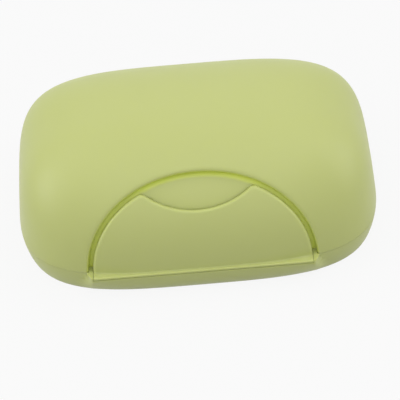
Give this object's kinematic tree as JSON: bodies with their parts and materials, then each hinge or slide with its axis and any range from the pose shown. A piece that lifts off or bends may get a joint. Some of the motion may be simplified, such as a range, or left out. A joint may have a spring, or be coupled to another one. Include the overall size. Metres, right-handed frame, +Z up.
{
  "type": "travel soap box",
  "caption": "Soft rounded travel soap box with a deep hinged lid, a half-moon latch flap at the front and a lift-out drain tray inside.",
  "frame": {"origin": "centre of the flat underside that the box rests on", "axes": "+X along the width, to the right as seen from the front; +Y to the rear, where the lid hinge is; +Z up"},
  "size_m": [0.112, 0.0886, 0.042],
  "materials": {
    "shell": "satin moulded polypropylene, pale green",
    "pin": "plain moulded acetal",
    "seal": "soft pale silicone",
    "tray": "satin moulded polypropylene, off-white"
  },
  "bodies": {
    "base_body": {"base": "shell", "hinge_pin": "pin", "seal_ring": "seal"},
    "lid_body": {"lid": "shell"},
    "flap_body": {"latch_flap": "shell"},
    "tray_body": {"drain_tray": "tray"}
  },
  "joints": [
    {"name": "lid_hinge", "type": "hinge", "parent": "base_body", "child": "lid_body", "pos_m": [0, 0.0439, 0.0086], "axis": [-1, 0, 0], "range_deg": [0, 105]},
    {"name": "latch_hinge", "type": "hinge", "parent": "base_body", "child": "flap_body", "pos_m": [0, -0.0419, 0.008], "axis": [1, 0, 0], "range_deg": [0, 100]},
    {"name": "tray_lift", "type": "slide", "parent": "base_body", "child": "tray_body", "axis": [0, 0, 1], "range_m": [0, 0.012]}
  ]
}
